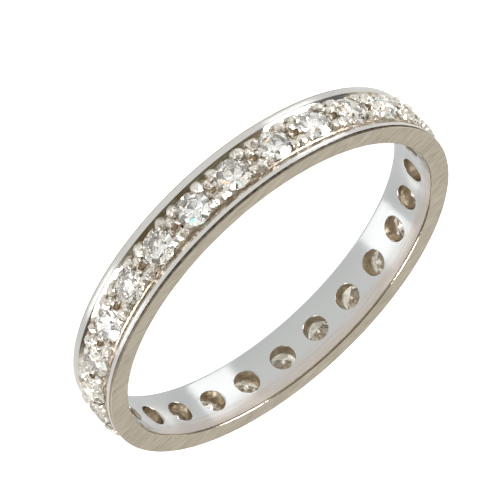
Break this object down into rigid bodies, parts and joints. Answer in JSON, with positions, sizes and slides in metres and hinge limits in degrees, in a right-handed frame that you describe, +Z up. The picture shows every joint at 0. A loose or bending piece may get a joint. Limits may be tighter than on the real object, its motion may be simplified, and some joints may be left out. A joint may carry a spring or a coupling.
{
  "type": "diamond eternity ring",
  "caption": "Flat-sided white gold band whose outside is a shallow channel of bead-set round diamonds all the way round, lying on its side.",
  "frame": {"origin": "centre of the finger hole, on the surface that the ring lies on", "axes": "+Z up along the hoop's axis; -Y is the side nearest the viewer in the picture"},
  "size_m": [0.0194, 0.0194, 0.0027],
  "materials": {
    "white_gold": "brushed side faces, polished rims and bore",
    "diamond": "faceted and polished"
  },
  "bodies": {
    "root": {"band": "white_gold", "stone_01": "diamond", "stone_02": "diamond", "stone_03": "diamond", "stone_04": "diamond", "stone_05": "diamond", "stone_06": "diamond", "stone_07": "diamond", "stone_08": "diamond", "stone_09": "diamond", "stone_10": "diamond", "stone_11": "diamond", "stone_12": "diamond", "stone_13": "diamond", "stone_14": "diamond", "stone_15": "diamond", "stone_16": "diamond", "stone_17": "diamond", "stone_18": "diamond", "stone_19": "diamond", "stone_20": "diamond", "stone_21": "diamond", "stone_22": "diamond", "stone_23": "diamond", "stone_24": "diamond", "stone_25": "diamond", "stone_26": "diamond"}
  },
  "joints": []
}
